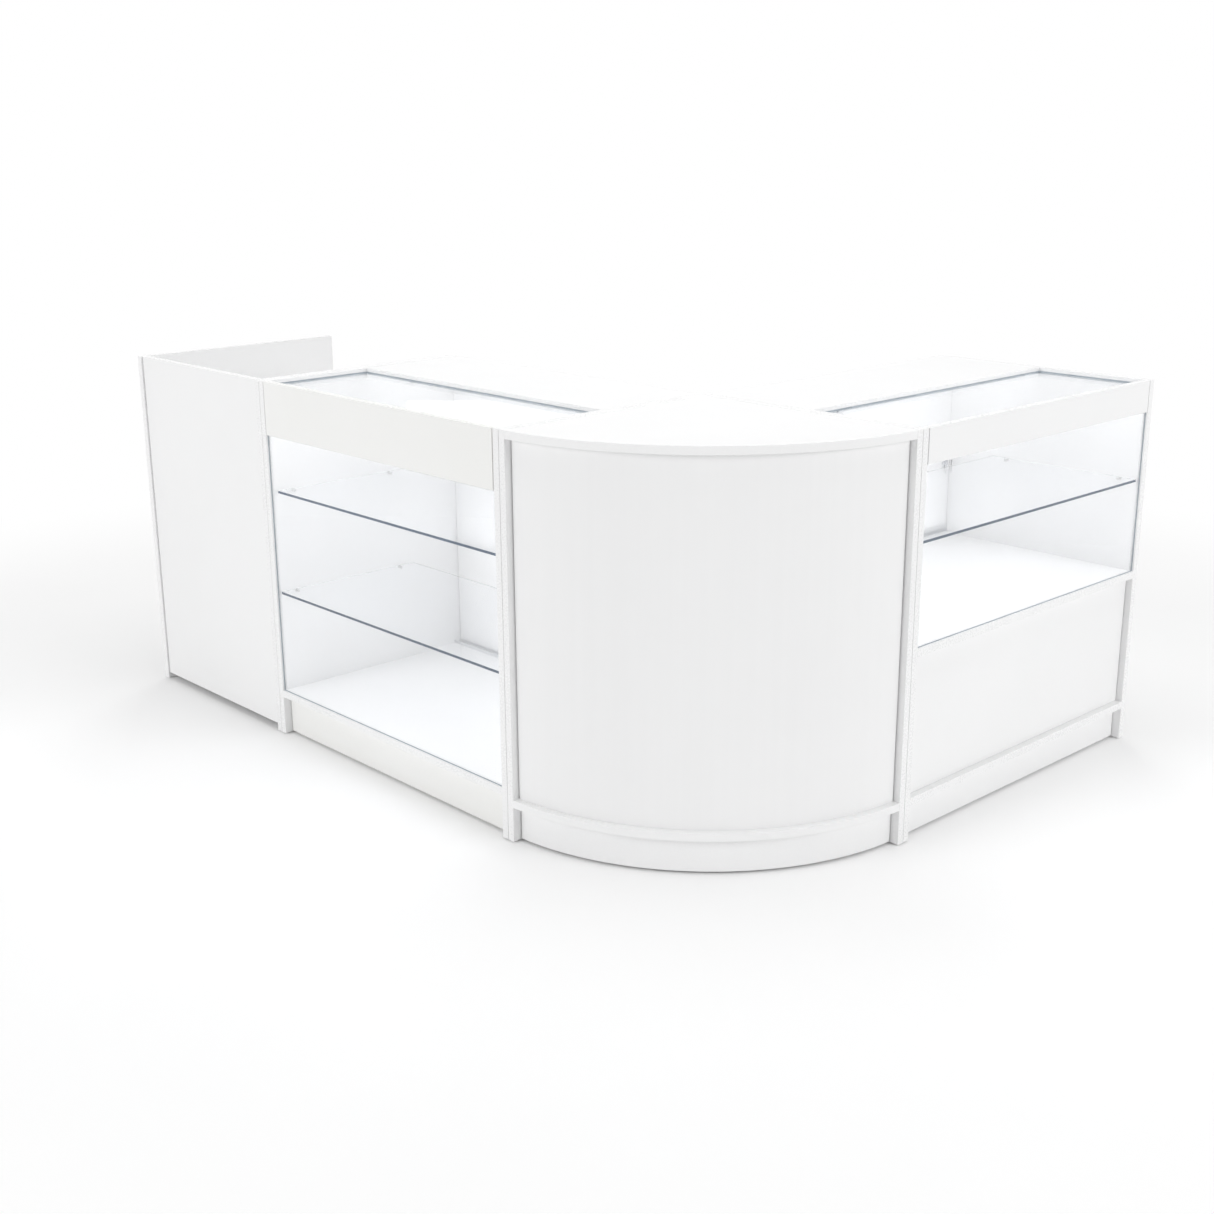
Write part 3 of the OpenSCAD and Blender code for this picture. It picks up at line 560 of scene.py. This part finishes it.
for unit, axis, deep in (("display", 1, -BEAD), ("counter", 0, BEAD)):
    bead_frame(unit + "_front_bead", *opening(unit, "front"), axis, deep, True)
    bead_frame(unit + "_top_bead", *opening(unit, "top"), 2, TOP_BEAD_H)


# ---------------------------------------------------------------- curved corner

ARC_STEPS = 144
SHEET_EDGE = 0.4 * MM
top_lo, top_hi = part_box("corner_top")
CORNER_R = 0.6
ARC_X, ARC_Y = top_hi.x - CORNER_R, top_lo.y + CORNER_R


def arc_points(radius, x_min, y_max):
    """Points on the corner's arc from the side at x_min round to the side at y_max."""
    start = math.acos((x_min - ARC_X) / radius)
    end = math.asin((ARC_Y - y_max) / radius)
    found = []
    for i in range(ARC_STEPS + 1):
        a = start + (end - start) * i / ARC_STEPS
        found.append((ARC_X + radius * math.cos(a), ARC_Y - radius * math.sin(a)))
    return found


def ease_upright(bm, keep, offset, segments):
    """Rounds the edges between a level face and a side face, where keep says so."""
    bm.normal_update()
    picked = []
    for e in bm.edges:
        if len(e.link_faces) == 2:
            a, b = e.link_faces
            level = abs(a.normal.z) > 0.99, abs(b.normal.z) > 0.99
            if level[0] != level[1] and keep((e.verts[0].co + e.verts[1].co) / 2):
                picked.append(e)
    bmesh.ops.bevel(bm, geom=picked, offset=offset, segments=segments, profile=0.5, affect="EDGES")


def corner_slab(node):
    """Quarter-round board with a banded, softly rounded curved edge."""
    lo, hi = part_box(node)
    arc = arc_points(CORNER_R, lo.x, hi.y)
    bm = prism([(lo.x, hi.y), *arc], lo.z, hi.z)
    ease_upright(bm, lambda p: math.hypot(p.x - ARC_X, p.y - ARC_Y) > CORNER_R - 2 * MM, EDGE_EASE, 3)
    obj = to_object(node + "_slab", bm, (melamine(node + "_slab_skin", COOL_WHITE),), 30)
    stand_for(obj, node)


def corner_sheet(node, thickness, tones=None):
    """Bent sheet between the corner's side boards, with lightly broken edges."""
    lo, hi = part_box(node)
    radius = math.hypot(hi.x - ARC_X, ARC_Y - hi.y)
    outer = arc_points(radius, lo.x, hi.y)
    inner = arc_points(radius - thickness, lo.x, hi.y)
    bm = prism(outer + inner[::-1], lo.z, hi.z)
    ease_upright(bm, lambda p: True, SHEET_EDGE, 2)
    skin = melamine(node + "_skin", tones) if tones else LAMINATE
    obj = to_object(node + "_sheet", bm, (skin,), 30)
    stand_for(obj, node)


CURVED_T = 10 * MM
corner_slab("corner_top")
corner_slab("corner_base_board")
corner_sheet("corner_curved_panel", CURVED_T)
corner_sheet("corner_curved_plinth", CURVED_T, COOL_WHITE)


# ---------------------------------------------------------------- turned pulls and locks

TURNS = 72

# Profiles are lists of (radius, height) in millimetres, and height 0 is the board's outer face.
PULL_H = 0.8
PULL_BACK = [(0.0, -10.0), (15.2, -10.0), (15.95, -9.3)]
PULL_RIM = [
    (15.95, 0.0),
    (18.0, 0.0),
    (18.0, 0.42),
    (17.85, 0.68),
    (17.5, PULL_H),
    (15.5, PULL_H),
    (14.85, 0.6),
    (14.5, 0.1),
]
PULL_CUP = [(14.5, -6.4), (14.1, -7.6), (13.2, -8.3), (12.0, -8.5), (7.4, -8.5), (7.0, -8.3), (0.0, -8.3)]

DOOR_T, DRAWER_FRONT_T = 16.0, 18.0
COLLAR_H = 1.2
SLEEVE_BORE = 7.05
COLLAR = [
    (SLEEVE_BORE, -0.3),
    (8.3, -0.3),
    (8.3, 1.0),
    (8.45, COLLAR_H),
    (10.5, COLLAR_H),
    (10.85, 1.05),
    (11.0, 0.7),
    (11.0, 0.0),
]
THREAD_CREST, THREAD_ROOT, THREAD_PITCH, THREAD_TURNS, THREAD_LONG = 9.45, 9.1, 0.5, 14, 7.0
HEX_FLAT, HEX_CORNER, NUT_H = 11.6, 13.0, 4.0
CAM_LONG, CAM_HALF, CAM_BOSS, CAM_T, CAM_EASE = 31.0, 5.5, 7.0, 2.0, 0.25
CAM_AT = 6.4
BOSS_STEPS, TIP_STEPS = 32, 24


def hexagon(a):
    """Radius of a hexagon with its corners turned down to a circle."""
    bend = (a + math.pi / 6) % (math.pi / 3) - math.pi / 6
    return min(HEX_CORNER, HEX_FLAT / math.cos(bend))


def slot_shape(half_wide, half_tall):
    """Radius of a rounded slot by angle."""
    return lambda a: (abs(math.cos(a) / half_wide) ** 8 + abs(math.sin(a) / half_tall) ** 8) ** -0.125


KEYWAY, KEYWAY_LIP, SCREW_SLOT = slot_shape(1.0, 4.0), slot_shape(1.25, 4.25), slot_shape(2.8, 0.45)
KEYWAY_FLOOR = -5.8
BARREL_FACE = [
    (0.0, KEYWAY_FLOOR),
    (KEYWAY, KEYWAY_FLOOR),
    (KEYWAY, 0.9),
    (KEYWAY_LIP, 1.1),
    (4.7, 1.1),
    (4.9, 0.85),
    (5.3, 0.85),
    (5.5, 1.1),
    (7.5, 1.15),
    (7.85, 1.0),
    (8.0, 0.7),
    (8.0, 0.0),
    (7.0, 0.0),
]
# The screw's heights are from the underside of the cam.
SCREW = [
    (0.0, 0.0),
    (4.0, 0.0),
    (4.0, -1.2),
    (3.7, -1.7),
    (3.1, -2.0),
    (SCREW_SLOT, -2.0),
    (SCREW_SLOT, -0.9),
    (0.0, -0.9),
]


def frame_at(centre, out):
    """Axes of a turned piece: out is its axis, up is world up, side completes the set."""
    out = Vector(out)
    up = Vector((0.0, 0.0, 1.0))
    return Vector(centre), out, up, up.cross(out)


def outer_face(node, out, proud):
    """Centre of a round piece on the board's outer face; the piece stands proud of it by that much."""
    lo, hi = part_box(node)
    centre = (lo + hi) / 2
    out = Vector(out)
    reach = max(out.dot(lo), out.dot(hi)) - proud * MM
    return centre + out * (reach - out.dot(centre))


def turned(bm, where, profile, closed=False):
    """Adds a lathe-turned shape. Each profile point is a radius, or a function of angle, and a height."""
    centre, out, up, side = where
    rings = []
    for radius, height in profile:
        if radius == 0.0:
            rings.append([bm.verts.new(centre + out * height * MM)])
            continue
        ring = []
        for i in range(TURNS):
            a = math.tau * i / TURNS
            r = (radius(a) if callable(radius) else radius) * MM
            point = centre + out * height * MM + side * r * math.cos(a) + up * r * math.sin(a)
            ring.append(bm.verts.new(point))
        rings.append(ring)
    pairs = list(zip(rings, rings[1:]))
    if closed:
        pairs.append((rings[-1], rings[0]))
    for one, two in pairs:
        for i in range(TURNS):
            j = (i + 1) % TURNS
            corners = [one[i % len(one)], one[j % len(one)], two[j % len(two)], two[i % len(two)]]
            bm.faces.new(list(dict.fromkeys(corners)))


def finger_pull(node, out):
    """Cup with a rolled rim and a stepped floor."""
    bm = bmesh.new()
    where = frame_at(outer_face(node, out, PULL_H), out)
    turned(bm, where, [*PULL_BACK, *PULL_RIM, *PULL_CUP])
    obj = to_object(node + "_turned", bm, (GREY_PLASTIC,), 40)
    stand_for(obj, node)


def lock_housing(node, out, board):
    """Collar, threaded sleeve and hexagon nut round the bore of a cam lock."""
    bm = bmesh.new()
    where = frame_at(outer_face(node, out, COLLAR_H), out)
    end = -board - NUT_H
    sleeve = [(SLEEVE_BORE, end), *COLLAR, (THREAD_CREST, 0.0)]
    for k in range(THREAD_TURNS):
        sleeve.append((THREAD_CREST, end + THREAD_LONG - THREAD_PITCH * k))
        sleeve.append((THREAD_ROOT, end + THREAD_LONG - THREAD_PITCH * (k + 0.5)))
    turned(bm, where, sleeve, closed=True)
    nut = [
        (9.5, end + 0.2),
        (9.5, -board),
        (11.5, -board),
        (hexagon, -board - 0.5),
        (hexagon, end + 0.6),
        (11.4, end + 0.2),
    ]
    turned(bm, where, nut, closed=True)
    obj = to_object(node + "_turned", bm, (CHROME,), 30)
    stand_for(obj, node)


def cam_outline():
    """The cam from above: a round boss that runs into a tongue with a round tip."""
    outline = []
    start = math.acos(CAM_HALF / CAM_BOSS)
    for i in range(BOSS_STEPS + 1):
        a = start - (math.pi + 2 * start) * i / BOSS_STEPS
        outline.append((CAM_BOSS * math.cos(a), CAM_BOSS * math.sin(a)))
    for i in range(TIP_STEPS + 1):
        a = math.pi - math.pi * i / TIP_STEPS
        outline.append((CAM_HALF * math.cos(a), CAM_LONG - CAM_HALF + CAM_HALF * math.sin(a)))
    return outline


def cam(bm, where, end, cam_way):
    """Adds the flat cam, with broken edges, pointing along cam_way."""
    centre, out = where[:2]
    along = Vector(cam_way)
    across = along.cross(out)
    outline = cam_outline()
    layers = []
    for height, inset in ((0.0, CAM_EASE), (CAM_EASE, 0.0), (CAM_T - CAM_EASE, 0.0), (CAM_T, CAM_EASE)):
        shrink = 1.0 - inset / CAM_HALF
        level = centre + out * (end + height) * MM
        layer = []
        for u, v in outline:
            point = level + across * u * shrink * MM + along * (v - inset * v / CAM_LONG) * MM
            layer.append(bm.verts.new(point))
        layers.append(layer)
    bm.faces.new(layers[0])
    bm.faces.new(layers[-1])
    for one, two in zip(layers, layers[1:]):
        for i in range(len(outline)):
            j = (i + 1) % len(outline)
            bm.faces.new((one[i], one[j], two[j], two[i]))


def lock_barrel(node, housing, out, board, cam_way):
    """Barrel with a keyway in its dished face, and the cam held by a slotted screw."""
    bm = bmesh.new()
    where = frame_at(outer_face(housing, out, COLLAR_H), out)
    end = -board - CAM_AT
    turned(bm, where, [*BARREL_FACE, (7.0, end + CAM_T), (0.0, end + CAM_T)])
    turned(bm, where, [(radius, end + height) for radius, height in SCREW])
    cam(bm, where, end, cam_way)
    obj = to_object(node + "_turned", bm, (CHROME,), 30)
    stand_for(obj, node)


OUT_Y, OUT_X = (0.0, 1.0, 0.0), (-1.0, 0.0, 0.0)
DOWN, LEFT = (0.0, 0.0, -1.0), (-1.0, 0.0, 0.0)
for unit, out in (("display", OUT_Y), ("counter", OUT_X)):
    finger_pull(unit + "_left_pull", out)
    finger_pull(unit + "_right_pull", out)
    lock_housing(unit + "_lock_housing", out, DOOR_T)
    lock_barrel(unit + "_lock_barrel", unit + "_lock_housing", out, DOOR_T, DOWN)
lock_housing("drawer_lock_housing", OUT_Y, DRAWER_FRONT_T)
lock_barrel("drawer_lock_barrel", "drawer_lock_housing", OUT_Y, DRAWER_FRONT_T, LEFT)


# ---------------------------------------------------------------- stage, light and camera

AMBIENT = 0.45
FLOOR_GLOW = 0.85
WHITE = (1.0, 1.0, 1.0, 1.0)
FLOOR_R, FADE_FROM, FADE_TO = 40.0, 1.6, 3.2


def seen_directly(tree):
    """1 where the backdrop is seen, straight, through glass or mirrored, and 0 where it only lights."""
    path = add(tree, "LightPath")
    seen = maths(tree, "MAXIMUM", path.outputs["Is Camera Ray"], path.outputs["Is Transmission Ray"])
    return maths(tree, "MAXIMUM", seen, path.outputs["Is Glossy Ray"])


stage_material, tree = new_material("studio_floor")
here = place(tree)
tone = spread(tree, noise(tree, here, 1.3, 3.0, 0.5), 0.3, 0.7, 0.945, 0.96)
ground = principled(tree, Base_Color=grey(tree, tone), Roughness=0.7)
away = add(tree, "VectorMath", {"operation": "LENGTH"}, _0=here).outputs["Value"]
seen = seen_directly(tree)
glow = add(tree, "Emission", Color=WHITE, Strength=spread(tree, seen, 0.0, 1.0, FLOOR_GLOW, 1.0))
fade = spread(tree, away, FADE_FROM, FADE_TO, 0.0, 1.0, True)
mixed = add(tree, "MixShader", _0=fade, _1=ground, _2=glow.outputs["Emission"])
to_output(tree, mixed.outputs["Shader"])

bm = bmesh.new()
bmesh.ops.create_circle(bm, cap_ends=True, segments=96, radius=FLOOR_R)
floor = to_object("studio_floor", bm, (stage_material,))

world = bpy.data.worlds.new("studio")
bpy.context.scene.world = world
world.use_nodes = True
tree = world.node_tree
tree.nodes.clear()
seen = seen_directly(tree)
back = add(tree, "Background", Color=WHITE, Strength=spread(tree, seen, 0.0, 1.0, AMBIENT, 1.0))
out = add(tree, "OutputWorld")
tree.links.new(back.outputs["Background"], out.inputs["Surface"])


def softbox(name, centre, target, size, power):
    data = bpy.data.lights.new(name, "AREA")
    data.shape = "RECTANGLE"
    data.size, data.size_y = size
    data.energy = power
    lamp = bpy.data.objects.new(name, data)
    bpy.context.scene.collection.objects.link(lamp)
    lamp.location = centre
    lamp.rotation_mode = "QUATERNION"
    lamp.rotation_quaternion = (Vector(target) - Vector(centre)).to_track_quat("-Z", "Y")
    return lamp


KEY_SIZE, KEY_POWER, KEY_TARGET = (3.4, 2.6), 158.0, (0.0, 0.0, 0.45)
softbox("overhead", (0.2, 0.1, 4.6), (0.2, 0.1, 0.0), (4.4, 3.6), 88.0)
softbox("left_key", (-1.22, -6.89, 2.9), KEY_TARGET, KEY_SIZE, KEY_POWER)
softbox("right_key", (6.89, 1.22, 2.9), KEY_TARGET, KEY_SIZE, KEY_POWER)

rear_fill = softbox("rear_fill", (-4.9, 4.9, 3.4), (0.0, 0.0, 0.4), KEY_SIZE, 105.0)
rear_fill.visible_glossy = False

FRONT_GLOW, TOP_GLOW, SIDE_GLOW, REAR_GLOW = 0.30, 0.06, 0.34, 1.0
FILL_GAP = 4 * MM


def clear_of_tracks(unit):
    """The part of a unit's rear worktop that lies in front of its door tracks."""
    lo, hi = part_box(unit + "_rear_worktop")
    track_lo, track_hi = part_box(unit + "_door_tracks")
    if unit == "display":
        hi.y = track_lo.y
    else:
        lo.x = track_hi.x
    return lo, hi


def case_fill(name, lo, hi, inward, glow):
    """Soft light from a whole pane or board into its showcase; the lamp itself is never seen."""
    inward = Vector(inward)
    axis = max(range(3), key=lambda i: abs(inward[i]))
    centre = (lo + hi) / 2
    centre[axis] = (hi if inward[axis] > 0 else lo)[axis] + inward[axis] * FILL_GAP
    size = hi - lo
    across = [i for i in range(3) if i != axis]
    wide = max(across, key=lambda i: size[i])
    tall = min(across, key=lambda i: size[i])
    power = glow * math.pi * size[wide] * size[tall]
    lamp = softbox(name + "_fill", centre, centre + inward, (size[wide], size[tall]), power)
    x_axis = Vector([1.0 if i == wide else 0.0 for i in range(3)])
    turn = Matrix((x_axis, (-inward).cross(x_axis), -inward)).transposed()
    lamp.rotation_quaternion = turn.to_quaternion()
    lamp.visible_camera = lamp.visible_glossy = lamp.visible_transmission = False


def near_wall(unit):
    """The inside of the side board nearest the camera, behind the front glass."""
    pane_lo, pane_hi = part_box(unit + "_front_glass")
    track_lo, track_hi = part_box(unit + "_door_tracks")
    if unit == "display":
        lo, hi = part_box("display_right_side")
        lo.y, hi.y = pane_hi.y, track_lo.y
    else:
        lo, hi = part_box("counter_left_side")
        lo.x, hi.x = track_hi.x, pane_lo.x
    lo.z, hi.z = pane_lo.z, pane_hi.z
    return lo, hi


INTO_Y, INTO_X = (0.0, 1.0, 0.0), (-1.0, 0.0, 0.0)
for unit, inward, along in (("display", INTO_Y, INTO_X), ("counter", INTO_X, INTO_Y)):
    case_fill(unit + "_front", *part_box(unit + "_front_glass"), inward, FRONT_GLOW)
    case_fill(unit + "_top", *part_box(unit + "_top_glass"), DOWN, TOP_GLOW)
    case_fill(unit + "_rear", *clear_of_tracks(unit), DOWN, REAR_GLOW)
    case_fill(unit + "_side", *near_wall(unit), along, SIDE_GLOW)

CAMERA_AT = Vector((2.956, -2.794, 1.496))
AZIMUTH, ELEVATION, ROLL = math.radians(46.963), math.radians(16.724), math.radians(-0.362)
LENS_PIXELS, FRAME_PIXELS, SENSOR_MM = 1627.6, 1214.0, 36.0
cam = bpy.data.cameras.new("camera")
cam.sensor_width = SENSOR_MM
cam.lens = LENS_PIXELS / FRAME_PIXELS * SENSOR_MM
cam.clip_start, cam.clip_end = 0.05, 200.0
camera = bpy.data.objects.new("camera", cam)
bpy.context.scene.collection.objects.link(camera)
level = math.cos(ELEVATION)
back_way = Vector((math.sin(AZIMUTH) * level, -math.cos(AZIMUTH) * level, math.sin(ELEVATION)))
camera.rotation_mode = "QUATERNION"
camera.location = CAMERA_AT
turn = (-back_way).to_track_quat("-Z", "Y").to_matrix().to_4x4() @ Matrix.Rotation(ROLL, 4, "Z")
camera.rotation_quaternion = turn.to_quaternion()
bpy.context.scene.camera = camera

scene = bpy.context.scene
scene.view_settings.view_transform = "Standard"
scene.view_settings.look = "None"
scene.cycles.transparent_max_bounces = 24
scene.cycles.max_bounces = 16
scene.cycles.diffuse_bounces = 8
